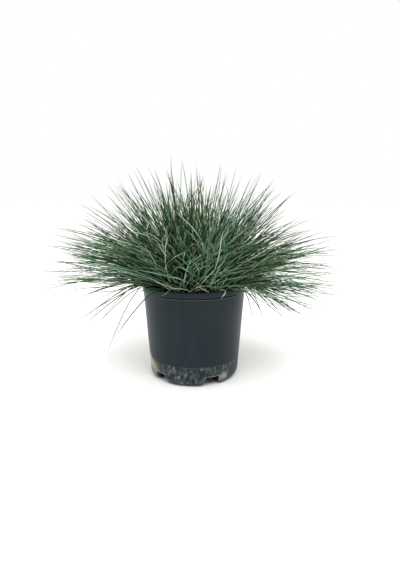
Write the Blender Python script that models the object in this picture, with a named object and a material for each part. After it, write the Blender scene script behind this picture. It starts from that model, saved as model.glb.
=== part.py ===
"""A clump of blue fescue grass in a round nursery pot.

The origin is on the ground under the middle of the pot, with +Z up and the pot's front towards -Y.
Lengths are in metres and angles in degrees. An azimuth is measured about +Z from +X.
The pot is one moulding on hollow feet, the compost is one root ball, and the plant is a set of
tufts, each a sheaf of leaves in one plain solid, with the long single leaves that stand clear of them.
"""

from math import cos, pi, radians, sin

import bmesh
import bpy
from mathutils import Matrix, Vector

FIT_GAP = 0.0003

# The pot.
POT_HEIGHT = 0.119
RIM_RADIUS = 0.065
TOE_RADIUS = 0.056
WALL = 0.0014
POT_SIDES = 48
COLLAR_HEIGHT = 0.0068
COLLAR_PROUD = 0.0007
COLLAR_GROOVE = 0.0003
COLLAR_GROOVE_RISE = 0.0002
COLLAR_GROOVE_DROP = 0.0012
RIM_THICKNESS = 0.0024
RIM_DEPTH = 0.002
RIM_SHOULDER = 0.004
RIM_ROUND = (0.0004, 0.0006)
CUTTER_MARGIN = 0.01
FOOT_ROUND = 0.011
FOOT_ROUND_STEPS = 4
FOOT_INNER_RADIUS = 0.0345
FOOT_DRAFT = 0.001
BASE_HEIGHT = 0.015
NOTCH_COUNT = 5
FIRST_NOTCH = 6.0
NOTCH_HEIGHT = 0.0125
NOTCH_HALF_WIDTH = 0.0100
NOTCH_FLARE = 0.0030
NOTCH_FLARE_HEIGHT = 0.006
NOTCH_CORNER = 0.0040
NOTCH_STEPS = 3
NOTCH_INNER_RADIUS = 0.030
NOTCH_DEPTH_BELOW = 0.002
DRAIN_SLOT = (0.008, 0.006, 0.012)
DRAIN_RADIUS = 0.0455

# The compost.
COMPOST_EDGE_HEIGHT = 0.1085
COMPOST_CROWN_HEIGHT = 0.1125
COMPOST_CROWN_RADIUS = 0.030

# How a stem's lean changes from root to tip: above 1, more of the bend is near the tip.
BEND_POWER = 1.6
# Each step along a stem is summed over this many finer ones.
FINER_STEPS = 4

# The tufts: three rings round the crown. Width is a share of the distance from the pot's axis.
TUFT_SIDES = 8
TUFT_STATIONS = 8
TUFT_ROOT_THICKNESS = 0.003
TUFT_SHOULDER = 0.58
RINGS = {
    "low": {
        "count": 12, "first": 5.0, "root": (0.024, 0.1165), "length": 0.158,
        "lean": (22.0, -6.0), "width": 0.245, "thickening": 0.12,
    },
    "mid": {
        "count": 8, "first": 10.0, "root": (0.016, 0.1175), "length": 0.144,
        "lean": (48.0, 30.0), "width": 0.355, "thickening": 0.19,
    },
    "top": {
        "count": 5, "first": 16.0, "root": (0.0085, 0.1185), "length": 0.146,
        "lean": (76.0, 63.0), "width": 0.56, "thickening": 0.21,
    },
}

# The long single leaves: azimuth, root radius and height, length, and lean at root and tip.
LEAF_SIDES = 4
LEAF_STATIONS = 9
LEAF_HALF_WIDTH = 0.0007
LEAF_TIP_SHARE = 0.3
SINGLE_LEAVES = (
    (20.0, 0.031, 0.1140, 0.160, 16.0, -18.0),
    (50.0, 0.031, 0.1140, 0.148, 16.0, -34.0),
    (80.0, 0.031, 0.1140, 0.153, 16.0, -20.0),
    (110.0, 0.031, 0.1140, 0.156, 16.0, -24.0),
    (140.0, 0.031, 0.1140, 0.148, 16.0, -42.0),
    (170.0, 0.031, 0.1140, 0.168, 16.0, -18.0),
    (200.0, 0.031, 0.1140, 0.150, 17.0, -74.0),
    (230.0, 0.031, 0.1140, 0.124, 17.0, -82.0),
    (260.0, 0.031, 0.1140, 0.128, 17.0, 10.0),
    (290.0, 0.031, 0.1140, 0.132, 17.0, 6.0),
    (320.0, 0.031, 0.1140, 0.126, 17.0, -62.0),
    (350.0, 0.031, 0.1140, 0.168, 16.0, -26.0),
    (32.5, 0.0205, 0.1185, 0.164, 33.0, 14.0),
    (77.5, 0.0205, 0.1185, 0.160, 33.0, 16.0),
    (122.5, 0.0205, 0.1185, 0.160, 33.0, 18.0),
    (167.5, 0.0205, 0.1185, 0.174, 33.0, 4.0),
    (212.5, 0.0205, 0.1185, 0.160, 33.0, 14.0),
    (257.5, 0.0205, 0.1185, 0.154, 33.0, 16.0),
    (302.5, 0.0205, 0.1185, 0.156, 33.0, 16.0),
    (347.5, 0.0205, 0.1185, 0.174, 33.0, 4.0),
    (52.0, 0.0120, 0.1195, 0.150, 71.0, 58.0),
    (124.0, 0.0120, 0.1195, 0.156, 73.0, 64.0),
    (196.0, 0.0120, 0.1195, 0.158, 72.0, 60.0),
    (268.0, 0.0120, 0.1195, 0.148, 72.0, 60.0),
    (160.0, 0.0015, 0.1140, 0.162, 89.0, 78.0),
)

# Dry leaves on the rim: the azimuths of both ends, their radii, and the height at which they lie.
STRAWS = (
    (234.0, 0.0668, 256.0, 0.0600, 0.1197),
    (266.0, 0.0600, 285.0, 0.0668, 0.1197),
)
STRAW_STATIONS = 6
STRAW_HALF_WIDTH = 0.0005
STRAW_TIP_SHARE = 0.6
STRAW_RISE = 0.0012


def clear_scene():
    for thing in list(bpy.data.objects):
        bpy.data.objects.remove(thing, do_unlink=True)


def plain_material(name, colour, roughness):
    material = bpy.data.materials.new(name)
    material.use_nodes = True
    shader = material.node_tree.nodes["Principled BSDF"]
    shader.inputs["Base Color"].default_value = (*colour, 1.0)
    shader.inputs["Roughness"].default_value = roughness
    return material


def add_object(name, mesh, material=None):
    """Turns a bmesh into an object of the scene, faces outward."""
    bmesh.ops.recalc_face_normals(mesh, faces=mesh.faces[:])
    data = bpy.data.meshes.new(name)
    mesh.to_mesh(data)
    mesh.free()
    thing = bpy.data.objects.new(name, data)
    bpy.context.collection.objects.link(thing)
    if material:
        data.materials.append(material)
    return thing


def as_cutter(thing):
    thing.hide_render = True
    thing.display_type = "WIRE"
    return thing


def subtract(thing, cutter):
    cut = thing.modifiers.new(f"less {cutter.name}", "BOOLEAN")
    cut.operation = "DIFFERENCE"
    cut.object = cutter


def turned(profile):
    """A body of revolution about the Z axis from (radius, height) points that start and end on it."""
    mesh = bmesh.new()
    line = [mesh.verts.new((radius, 0.0, height)) for radius, height in profile]
    edges = [mesh.edges.new(pair) for pair in zip(line, line[1:])]
    bmesh.ops.spin(
        mesh, geom=line + edges, cent=(0, 0, 0), axis=(0, 0, 1),
        angle=2 * pi, steps=POT_SIDES, use_merge=True,
    )
    bmesh.ops.remove_doubles(mesh, verts=mesh.verts[:], dist=0.00001)
    return mesh


def wall_radius(height):
    """Radius of the tapered outer wall."""
    return TOE_RADIUS + (RIM_RADIUS - TOE_RADIUS) * height / POT_HEIGHT


def foot_and_base(inset):
    """The lower half of the pot's profile, from the wall to the axis, moved into the plastic by inset."""
    bend = FOOT_ROUND - inset
    centre_radius = wall_radius(FOOT_ROUND) - FOOT_ROUND
    points = []
    for step in range(FOOT_ROUND_STEPS + 1):
        angle = pi / 2 * step / FOOT_ROUND_STEPS
        points.append((centre_radius + bend * cos(angle), FOOT_ROUND - bend * sin(angle)))
    points.append((FOOT_INNER_RADIUS + FOOT_DRAFT + inset, inset))
    points.append((FOOT_INNER_RADIUS + inset, BASE_HEIGHT + inset))
    points.append((0.0, BASE_HEIGHT + inset))
    return points


def notch_outline(spread):
    """Half of a notch's arch as (across, height) points, upwards: the round foot side, then the round top."""
    half = NOTCH_HALF_WIDTH + spread
    top = NOTCH_HEIGHT + spread
    points = [(half + NOTCH_FLARE, -NOTCH_DEPTH_BELOW)]
    for step in range(NOTCH_STEPS + 1):
        angle = pi / 2 * step / NOTCH_STEPS
        points.append((half + NOTCH_FLARE * (1 - sin(angle)), NOTCH_FLARE_HEIGHT * (1 - cos(angle))))
    for step in range(NOTCH_STEPS + 1):
        angle = pi / 2 * step / NOTCH_STEPS
        across = half - NOTCH_CORNER * (1 - cos(angle))
        points.append((across, top - NOTCH_CORNER * (1 - sin(angle))))
    return points


def notch_cutters(name, spread):
    """One cutter that holds the drainage notches of all sides, as separate prisms clear of each other."""
    mesh = bmesh.new()
    inner = NOTCH_INNER_RADIUS - spread
    outer = RIM_RADIUS + CUTTER_MARGIN
    half = notch_outline(spread)
    outline = half + [(-across, height) for across, height in reversed(half)]
    for index in range(NOTCH_COUNT):
        turn = Matrix.Rotation(radians(FIRST_NOTCH + 360.0 * index / NOTCH_COUNT), 4, "Z")
        corners = [mesh.verts.new(turn @ Vector((inner, across, height))) for across, height in outline]
        face = mesh.faces.new(corners)
        grown = bmesh.ops.extrude_face_region(mesh, geom=[face])["geom"]
        moved = [item for item in grown if isinstance(item, bmesh.types.BMVert)]
        bmesh.ops.translate(mesh, verts=moved, vec=turn @ Vector((outer - inner, 0.0, 0.0)))
    return as_cutter(add_object(name, mesh))


def cavity_body(name, inset, top_profile, material=None):
    """The pot's inner space, shrunk by inset from its outer skin, closed above by top_profile."""
    profile = list(reversed(top_profile)) + foot_and_base(inset)
    body = add_object(name, turned(profile), material)
    subtract(body, notch_cutters(f"{name}_notches", inset))
    return body


def drain_cutters():
    """A slot through the roof of each notch, just inside the wall."""
    mesh = bmesh.new()
    for index in range(NOTCH_COUNT):
        turn = Matrix.Rotation(radians(FIRST_NOTCH + 360.0 * index / NOTCH_COUNT), 4, "Z")
        place = turn @ Matrix.Translation((DRAIN_RADIUS, 0.0, NOTCH_HEIGHT))
        bmesh.ops.create_cube(mesh, size=1.0, matrix=place @ Matrix.Diagonal((*DRAIN_SLOT, 1.0)))
    return as_cutter(add_object("drain_slots", mesh))


def make_pot(plastic):
    collar_foot = POT_HEIGHT - COLLAR_HEIGHT
    outer = [
        (0.0, POT_HEIGHT),
        (RIM_RADIUS + COLLAR_PROUD - RIM_ROUND[0], POT_HEIGHT),
        (RIM_RADIUS + COLLAR_PROUD, POT_HEIGHT - RIM_ROUND[1]),
        (wall_radius(collar_foot) + COLLAR_PROUD, collar_foot),
        (wall_radius(collar_foot) - COLLAR_GROOVE, collar_foot - COLLAR_GROOVE_RISE),
        (wall_radius(collar_foot), collar_foot - COLLAR_GROOVE_DROP),
    ]
    pot = add_object("pot", turned(outer + foot_and_base(0.0)), plastic)
    subtract(pot, notch_cutters("pot_notches", 0.0))
    above = POT_HEIGHT + CUTTER_MARGIN
    neck = POT_HEIGHT - RIM_SHOULDER
    bore = RIM_RADIUS + COLLAR_PROUD - RIM_THICKNESS
    mouth = [
        (wall_radius(neck) - WALL, neck), (bore, POT_HEIGHT - RIM_DEPTH), (bore, above), (0.0, above),
    ]
    subtract(pot, as_cutter(cavity_body("pot_cavity", WALL, mouth)))
    subtract(pot, drain_cutters())
    pot.data.shade_smooth()
    pot.data.set_sharp_from_angle(angle=radians(30))


def make_compost(peat):
    inset = WALL + FIT_GAP
    surface = [
        (wall_radius(COMPOST_EDGE_HEIGHT) - inset, COMPOST_EDGE_HEIGHT),
        (COMPOST_CROWN_RADIUS, COMPOST_CROWN_HEIGHT),
        (0.0, COMPOST_CROWN_HEIGHT),
    ]
    cavity_body("compost", inset, surface, peat)


def arch(root, length, lean, steps):
    """Radius, height and lean at even steps along a stem, which bends most towards its tip."""
    start, end = (radians(angle) for angle in lean)
    radius, height = root
    places = [(radius, height, start)]
    total = steps * FINER_STEPS
    for step in range(1, total + 1):
        middle = start + (end - start) * ((step - 0.5) / total) ** BEND_POWER
        radius += length / total * cos(middle)
        height += length / total * sin(middle)
        if step % FINER_STEPS == 0:
            here = start + (end - start) * (step / total) ** BEND_POWER
            places.append((radius, height, here))
    return places


def lofted(stations, sides):
    """A closed body through elliptical rings. Each station is a matrix, a half width and a half height."""
    mesh = bmesh.new()
    ring = bmesh.ops.create_circle(mesh, cap_ends=True, segments=sides, radius=1.0)["verts"]
    shape = [vert.co.copy() for vert in ring]
    for index, (place, width, height) in enumerate(stations):
        if index:
            face = next(face for face in mesh.faces if set(face.verts) == set(ring))
            grown = bmesh.ops.extrude_face_region(mesh, geom=[face])["geom"]
            if index > 1:
                bmesh.ops.delete(mesh, geom=[face], context="FACES_ONLY")
            fresh = [item for item in grown if isinstance(item, bmesh.types.BMVert)]
            ring = [min(fresh, key=lambda vert: (vert.co - old.co).length) for old in ring]
        for vert, unit in zip(ring, shape):
            vert.co = place @ Vector((0.0, unit.x * width, unit.y * height))
    bmesh.ops.remove_doubles(mesh, verts=mesh.verts[:], dist=0.00001)
    return mesh


def stem_place(azimuth, radius, height, lean):
    """The frame of a stem's cross-section: X along the stem, Y level, Z over it."""
    turn = Matrix.Rotation(radians(azimuth), 4, "Z")
    return turn @ Matrix.Translation((radius, 0.0, height)) @ Matrix.Rotation(-lean, 4, "Y")


def make_tufts(foliage):
    for ring, plan in RINGS.items():
        for index in range(plan["count"]):
            azimuth = plan["first"] + 360.0 * index / plan["count"]
            stations = []
            spine = arch(plan["root"], plan["length"], plan["lean"], TUFT_STATIONS)
            for step, (radius, height, lean) in enumerate(spine):
                share = step / TUFT_STATIONS
                past = max(0.0, (share - TUFT_SHOULDER) / (1.0 - TUFT_SHOULDER))
                taper = cos(past * pi / 2)
                thickness = TUFT_ROOT_THICKNESS + plan["thickening"] * plan["length"] * share
                place = stem_place(azimuth, radius, height, lean)
                stations.append((place, plan["width"] * radius * taper, thickness * taper))
            add_object(f"tuft_{ring}_{index + 1}", lofted(stations, TUFT_SIDES), foliage)


def make_single_leaves(leaf):
    for index, (azimuth, root_radius, root_height, length, *lean_ends) in enumerate(SINGLE_LEAVES):
        stations = []
        spine = arch((root_radius, root_height), length, lean_ends, LEAF_STATIONS)
        for step, (radius, height, lean) in enumerate(spine):
            half = LEAF_HALF_WIDTH * (1.0 - (1.0 - LEAF_TIP_SHARE) * step / LEAF_STATIONS)
            stations.append((stem_place(azimuth, radius, height, lean), half, half))
        add_object(f"leaf_{index + 1}", lofted(stations, LEAF_SIDES), leaf)


def make_straws(straw):
    for index, (azimuth_a, radius_a, azimuth_b, radius_b, height) in enumerate(STRAWS):
        ends = []
        for azimuth, radius in ((azimuth_a, radius_a), (azimuth_b, radius_b)):
            ends.append(Vector((radius * cos(radians(azimuth)), radius * sin(radians(azimuth)), height)))
        along = ends[1] - ends[0]
        turn = along.to_track_quat("X", "Z").to_matrix().to_4x4()
        stations = []
        for step in range(STRAW_STATIONS + 1):
            share = step / STRAW_STATIONS
            centre = ends[0] + along * share
            centre.z += STRAW_HALF_WIDTH + STRAW_RISE * sin(pi * share)
            half = STRAW_HALF_WIDTH * (1.0 - (1.0 - STRAW_TIP_SHARE) * share)
            stations.append((Matrix.Translation(centre) @ turn, half, half))
        add_object(f"straw_{index + 1}", lofted(stations, LEAF_SIDES), straw)


def main():
    clear_scene()
    make_pot(plain_material("black polypropylene", (0.030, 0.036, 0.040), 0.5))
    make_compost(plain_material("peat compost", (0.020, 0.014, 0.010), 0.95))
    make_tufts(plain_material("fescue foliage", (0.10, 0.19, 0.16), 0.6))
    make_single_leaves(plain_material("fescue leaf", (0.16, 0.27, 0.24), 0.55))
    make_straws(plain_material("dry leaf", (0.45, 0.36, 0.20), 0.8))


main()
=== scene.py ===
"""A potted blue fescue clump: the finishes and fine shapes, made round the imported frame.

Run as a script, it registers its operators and calls them in order. Lengths are in metres, +Z is up,
and the origin is on the ground under the middle of the pot, with the pot's front towards -Y.
"""

from math import cos, pi, radians, sin, sqrt

import bmesh
import bpy
import numpy as np
from bpy.props import FloatProperty, FloatVectorProperty, IntProperty, PointerProperty
from mathutils import Matrix, Vector


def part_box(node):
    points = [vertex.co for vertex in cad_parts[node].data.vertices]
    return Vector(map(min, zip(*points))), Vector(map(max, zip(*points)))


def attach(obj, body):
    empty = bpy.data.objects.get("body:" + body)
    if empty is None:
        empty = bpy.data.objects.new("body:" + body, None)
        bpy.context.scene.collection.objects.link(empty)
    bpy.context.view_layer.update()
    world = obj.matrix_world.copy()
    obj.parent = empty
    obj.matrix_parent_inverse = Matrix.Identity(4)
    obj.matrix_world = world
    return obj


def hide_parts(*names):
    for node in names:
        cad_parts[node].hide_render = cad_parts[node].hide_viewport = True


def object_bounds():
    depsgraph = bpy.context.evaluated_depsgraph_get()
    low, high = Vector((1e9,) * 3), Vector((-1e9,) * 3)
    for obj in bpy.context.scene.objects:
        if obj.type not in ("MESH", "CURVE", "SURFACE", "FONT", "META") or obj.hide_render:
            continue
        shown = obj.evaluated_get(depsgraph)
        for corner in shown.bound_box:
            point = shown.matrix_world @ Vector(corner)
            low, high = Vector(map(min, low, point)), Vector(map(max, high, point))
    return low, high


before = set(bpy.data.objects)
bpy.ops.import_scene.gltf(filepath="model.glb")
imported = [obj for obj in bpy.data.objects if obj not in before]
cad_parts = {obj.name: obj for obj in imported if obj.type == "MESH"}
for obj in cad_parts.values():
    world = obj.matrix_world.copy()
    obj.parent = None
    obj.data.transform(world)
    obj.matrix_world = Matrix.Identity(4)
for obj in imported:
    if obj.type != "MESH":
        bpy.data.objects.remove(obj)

bl_info = {
    "name": "Potted Blue Fescue",
    "version": (1, 0, 0),
    "blender": (4, 5, 0),
    "location": "View3D > Sidebar > Fescue",
    "description": "Builds a clump of blue fescue in a nursery pot round a packed frame",
    "category": "Add Mesh",
}

CAD_LOW, CAD_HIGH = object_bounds()
POT_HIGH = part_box("pot")[1]
COMPOST_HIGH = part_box("compost")[1]

MM = 0.001
MERGE_DISTANCE = 0.01 * MM
COLLAR_PROUD = 0.7 * MM
POT_HEIGHT = POT_HIGH[2]
RIM_RADIUS = POT_HIGH[0] - COLLAR_PROUD


# ---------------------------------------------------------------- colours and nodes


def linear(text, alpha=1.0):
    """An sRGB hex colour as the linear values that a shader takes."""
    values = []
    for start in (1, 3, 5):
        share = int(text[start:start + 2], 16) / 255
        values.append(share / 12.92 if share <= 0.04045 else ((share + 0.055) / 1.055) ** 2.4)
    return (*values, alpha)


def per_mm(size):
    """A texture scale whose features are about this many millimetres across."""
    return 1.0 / (size * MM)


def grey(value):
    """A linear grey."""
    return (value, value, value, 1.0)


def add_node(tree, kind, inputs=None, output=0, stops=(), **properties):
    """Adds a node with its settings and links, and returns one of its outputs. An input, by name or
    number, takes a socket or a value, and a colour ramp takes its stops as (position, colour)."""
    node = tree.nodes.new(f"ShaderNode{kind}")
    for name, value in properties.items():
        setattr(node, name, value)
    for key, value in (inputs or {}).items():
        if isinstance(value, bpy.types.NodeSocket):
            tree.links.new(value, node.inputs[key])
        else:
            node.inputs[key].default_value = value
    for index, (position, colour) in enumerate(stops):
        if index == len(node.color_ramp.elements):
            node.color_ramp.elements.new(position)
        node.color_ramp.elements[index].position = position
        node.color_ramp.elements[index].color = colour
    return node.outputs[output]


def new_material(name, roughness, ior=1.5):
    """A material with a Principled shader; returns the material, its tree and the shader's inputs."""
    material = bpy.data.materials.new(name)
    material.use_nodes = True
    tree = material.node_tree
    surface = tree.nodes["Principled BSDF"].inputs
    surface["Roughness"].default_value = roughness
    surface["IOR"].default_value = ior
    return material, tree, surface


# ---------------------------------------------------------------- settings


class FescuePotSettings(bpy.types.PropertyGroup):
    height: FloatProperty(
        name="Height", description="Height of the pot", default=POT_HEIGHT, unit="LENGTH")
    rim_radius: FloatProperty(
        name="Rim radius", description="Wall radius at the rim, without the collar",
        default=RIM_RADIUS, unit="LENGTH")
    toe_radius: FloatProperty(
        name="Toe radius", description="Wall radius carried down to the ground",
        default=56.0 * MM, unit="LENGTH")
    wall: FloatProperty(
        name="Wall", description="Thickness of the moulding", default=1.4 * MM, unit="LENGTH")
    notches: IntProperty(
        name="Notches", description="Number of drainage notches, and of feet", default=5, min=3, max=8)
    notch_height: FloatProperty(
        name="Notch height", description="Height of a notch's roof", default=12.5 * MM, unit="LENGTH")
    dirt_line: FloatProperty(
        name="Dirt line", description="Height up to which the wall is scuffed and limed",
        default=26.5 * MM, unit="LENGTH")
    plastic: FloatVectorProperty(
        name="Plastic", description="Colour of the clean polypropylene", subtype="COLOR", size=4,
        min=0.0, max=1.0, default=linear("#0c1a21"))
    lime: FloatVectorProperty(
        name="Lime", description="Colour of the chalky water marks", subtype="COLOR", size=4,
        min=0.0, max=1.0, default=linear("#8e9594"))
    clay: FloatVectorProperty(
        name="Clay", description="Colour of the dried splashes", subtype="COLOR", size=4,
        min=0.0, max=1.0, default=linear("#b9ac86"))


class FescueCompostSettings(bpy.types.PropertyGroup):
    grains: IntProperty(
        name="Crumbs", description="Number of loose crumbs and bark chips on top", default=900, min=0)
    peat: FloatVectorProperty(
        name="Peat", description="Colour of the moist compost", subtype="COLOR", size=4,
        min=0.0, max=1.0, default=linear("#2a221c"))


class FescueGrassSettings(bpy.types.PropertyGroup):
    leaf_width: FloatProperty(
        name="Leaf width", description="Width of a folded leaf at its widest",
        default=1.25 * MM, unit="LENGTH")
    low_leaves: IntProperty(
        name="Low leaves", description="Leaves in each tuft of the low ring", default=105, min=1)
    mid_leaves: IntProperty(
        name="Middle leaves", description="Leaves in each tuft of the middle ring", default=132, min=1)
    top_leaves: IntProperty(
        name="Top leaves", description="Leaves in each tuft of the top ring", default=104, min=1)
    dead_leaves: IntProperty(
        name="Dead leaves", description="Dry curled leaves in the thatch", default=220, min=0)
    # The darkest leaves' colour is near black: painted shade for leaves in the clump's shadow.
    painted_shade_green: FloatVectorProperty(
        name="Deep green", description="Colour of the darkest leaves", subtype="COLOR", size=4,
        min=0.0, max=1.0, default=linear("#050a05"))
    green: FloatVectorProperty(
        name="Green", description="Colour of most leaves", subtype="COLOR", size=4,
        min=0.0, max=1.0, default=linear("#325935"))
    bloom: FloatVectorProperty(
        name="Bloom", description="Colour of leaves with the most wax on them", subtype="COLOR", size=4,
        min=0.0, max=1.0, default=linear("#c3dac2"))
    straw: FloatVectorProperty(
        name="Straw", description="Colour of the dead leaves", subtype="COLOR", size=4,
        min=0.0, max=1.0, default=linear("#8a8c6a"))


class FescueStageSettings(bpy.types.PropertyGroup):
    camera_distance: FloatProperty(
        name="Camera distance", description="From the pot's axis, along the ground",
        default=566.0 * MM, unit="LENGTH")
    camera_height: FloatProperty(
        name="Camera height", description="Above the ground", default=225.0 * MM, unit="LENGTH")
    camera_aside: FloatProperty(
        name="Camera aside", description="To the right of the pot's axis",
        default=7.5 * MM, unit="LENGTH")
    camera_pitch: FloatProperty(
        name="Camera pitch", description="How far the camera looks down",
        default=0.190, subtype="ANGLE")
    lens: FloatProperty(name="Lens", description="Focal length in millimetres", default=28.42)
    floor_size: FloatProperty(
        name="Floor", description="Side of the pale floor", default=60.0, unit="LENGTH")


# ---------------------------------------------------------------- pieces


def settings(name):
    """The scene's settings for one section of the panel."""
    return getattr(bpy.context.scene, f"fescue_{name}")


def finish_piece(piece, slot, *nodes):
    """A finished piece rides on the one body and stands for its nodes, which are hidden. Its slot is not
    used.
    """
    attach(piece, "root")
    if nodes:
        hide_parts(*nodes)


def add_piece(name, mesh, material):
    """Turns a bmesh or a mesh into an object at the origin."""
    if isinstance(mesh, bmesh.types.BMesh):
        data = bpy.data.meshes.new(name)
        mesh.to_mesh(data)
        mesh.free()
    else:
        data = mesh
    data.materials.append(material)
    piece = bpy.data.objects.new(name, data)
    bpy.context.collection.objects.link(piece)
    return piece


def nodes_named(prefix):
    """The frame's nodes with this prefix, in the order of their numbers."""
    return sorted((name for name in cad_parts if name.startswith(prefix)),
                  key=lambda name: int(name.split("_")[-1]))


# ---------------------------------------------------------------- pot

POT_STEPS = 480
ROUND_STEPS = 6
COLLAR_HEIGHT = 6.8 * MM
RIM_THICKNESS = 2.4 * MM
# Heights of the plain rows of the wall, in millimetres: outside, then inside.
OUTER_ROWS = (107, 102, 96, 88, 80, 72, 64, 56, 48, 40, 34)
INNER_ROWS = (34, 60, 90, 108, 114)
# Below this height the rows rise over the notches. The first lie at these shares of the way down from it
# to the rounding of a foot, or to the edge of a notch.
ARCH_TOP = 30.0 * MM
ARCH_SHARES = (0.0, 0.2, 0.4, 0.6, 0.8)
FIRST_NOTCH = radians(6.0)
NOTCH_HALF_WIDTH = 10.0 * MM
NOTCH_FLARE = 3.0 * MM
NOTCH_FLARE_HEIGHT = 6.0 * MM
NOTCH_CORNER = 4.0 * MM
NOTCH_EDGE = 1.2 * MM
NOTCH_INNER_RADIUS = 30.0 * MM
# Where two more rows cross a notch's roof, inwards of its drain slot.
ROOF_RADII = (38.0 * MM, 34.0 * MM)
FOOT_ROUND = 11.0 * MM
FOOT_INNER_RADIUS = 34.5 * MM
# A foot's inner wall leans outwards on its way down: by the draft at this height, and then by more.
FOOT_BEND = 7.0 * MM
FOOT_DRAFT = 0.6 * MM
SOLE_DRAFT = 1.0 * MM
BASE_RADIUS = 28.0 * MM
BASE_HEIGHT = 15.0 * MM
GROOVE_ARC = (radians(-125.0), radians(-42.0))
GROOVE_FADE = radians(5.0)
# Rubbed plastic on the first rows of the notches' edges, fully rubbed from a third of the way up the arch,
# and a painted highlight on the bead's row, counted down from the rim.
BEAD_ROW = 12
BEAD_PAINTED_HIGHLIGHT = 0.3
EDGE_ROWS = 4
EDGE_WEAR = 3.0
DRAIN_RADII = (41.0 * MM, 45.5 * MM, 50.0 * MM)
DRAIN_HALF_WIDTH = 3.0 * MM


def wall_radius(pot, height):
    """The outer radius of the tapered wall."""
    return pot.toe_radius + (pot.rim_radius - pot.toe_radius) * height / pot.height


def skin_rows(pot, inset):
    """The rows of one skin below the wall, outward in: where each lies on a foot and in a notch."""
    roof = pot.notch_height + inset
    rows = []
    for share in ARCH_SHARES:
        foot = ARCH_TOP + (FOOT_ROUND - ARCH_TOP) * share
        notch = ARCH_TOP + (roof + NOTCH_EDGE - ARCH_TOP) * share
        rows.append(((wall_radius(pot, foot) - inset, foot), (wall_radius(pot, notch) - inset, notch)))
    bend = FOOT_ROUND - inset
    centre = wall_radius(pot, FOOT_ROUND) - FOOT_ROUND
    edge_centre = wall_radius(pot, roof) - inset - NOTCH_EDGE
    for step in range(ROUND_STEPS + 1):
        angle = pi / 2 * step / ROUND_STEPS
        foot = (centre + bend * cos(angle), FOOT_ROUND - bend * sin(angle))
        notch = (edge_centre + NOTCH_EDGE * cos(angle), roof + NOTCH_EDGE * (1 - sin(angle)))
        rows.append((foot, notch))
    sole = FOOT_INNER_RADIUS + SOLE_DRAFT + inset
    for index, radius in enumerate(reversed(DRAIN_RADII)):
        share = (index + 1) / (len(DRAIN_RADII) + 1)
        rows.append(((centre + (sole - centre) * share, inset), (radius, roof)))
    rows.append(((sole, inset), (ROOF_RADII[0], roof)))
    rows.append(((FOOT_INNER_RADIUS + FOOT_DRAFT + inset, FOOT_BEND), (ROOF_RADII[1], roof)))
    rows.append(((FOOT_INNER_RADIUS + inset, BASE_HEIGHT + inset), (NOTCH_INNER_RADIUS, roof)))
    for radius in (BASE_RADIUS, 0.0):
        row = (radius, BASE_HEIGHT + inset)
        rows.append((row, row))
    return rows


def wall_and_rim(pot):
    """The outer wall from the rim down. Each row has its plain place and its place along the label groove
    under the collar, with the bead below that."""
    foot = pot.height - COLLAR_HEIGHT
    top = pot.rim_radius + COLLAR_PROUD
    plain = [
        (top - 1.9 * MM, pot.height), (top - 1.2 * MM, pot.height), (top - 0.5 * MM, pot.height),
        (top - 0.15 * MM, pot.height - 0.15 * MM), (top, pot.height - 0.5 * MM),
    ]
    rows = [(row, row) for row in plain]
    # Millimetres above the collar's foot, and out from the wall: plain, then along the groove.
    grooved = (
        (3.4, 0.6, 0.62), (0.6, 0.55, 0.68), (0.1, 0.5, 0.5), (-0.1, 0.45, -0.75), (-0.8, 0.4, -0.75),
        (-1.0, 0.35, 0.3), (-1.4, 0.3, 0.62), (-1.9, 0.2, 0.5), (-2.4, 0.1, 0.05),
    )
    for above, proud, along_groove in grooved:
        height = foot + above * MM
        at = wall_radius(pot, height)
        rows.append(((at + proud * MM, height), (at + along_groove * MM, height)))
    for height in OUTER_ROWS:
        row = (wall_radius(pot, height * MM), height * MM)
        rows.append((row, row))
    return rows


def groove_share(angle):
    """1 along the label groove, falling to 0 past its ends."""
    past = max(GROOVE_ARC[0] - angle, angle - GROOVE_ARC[1], 0.0)
    return max(0.0, 1.0 - past / GROOVE_FADE)


def inner_wall(pot):
    """The rows of the inside from the skin up, over the thicker rim."""
    rows = [(wall_radius(pot, height * MM) - pot.wall, height * MM) for height in INNER_ROWS]
    bore = pot.rim_radius + COLLAR_PROUD - RIM_THICKNESS
    rows += [(bore, pot.height - 2.5 * MM), (bore, pot.height - 0.5 * MM)]
    rows.append((bore + 0.2 * MM, pot.height - 0.1 * MM))
    return rows


def notch_share(pot, away, spread):
    """How far up the notch's arch the skin is, from 0 on a foot to 1 at the roof, at a distance aside."""
    away = abs(away) - spread
    flat = NOTCH_HALF_WIDTH - NOTCH_CORNER
    if away <= flat:
        return 1.0
    if away < NOTCH_HALF_WIDTH:
        drop = NOTCH_CORNER - sqrt(NOTCH_CORNER ** 2 - (away - flat) ** 2)
        return 1.0 - drop / pot.notch_height
    past = (away - NOTCH_HALF_WIDTH) / NOTCH_FLARE
    if past >= 1.0:
        return 0.0
    return NOTCH_FLARE_HEIGHT * (1 - sqrt(1 - (1 - past) ** 2)) / pot.notch_height


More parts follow.
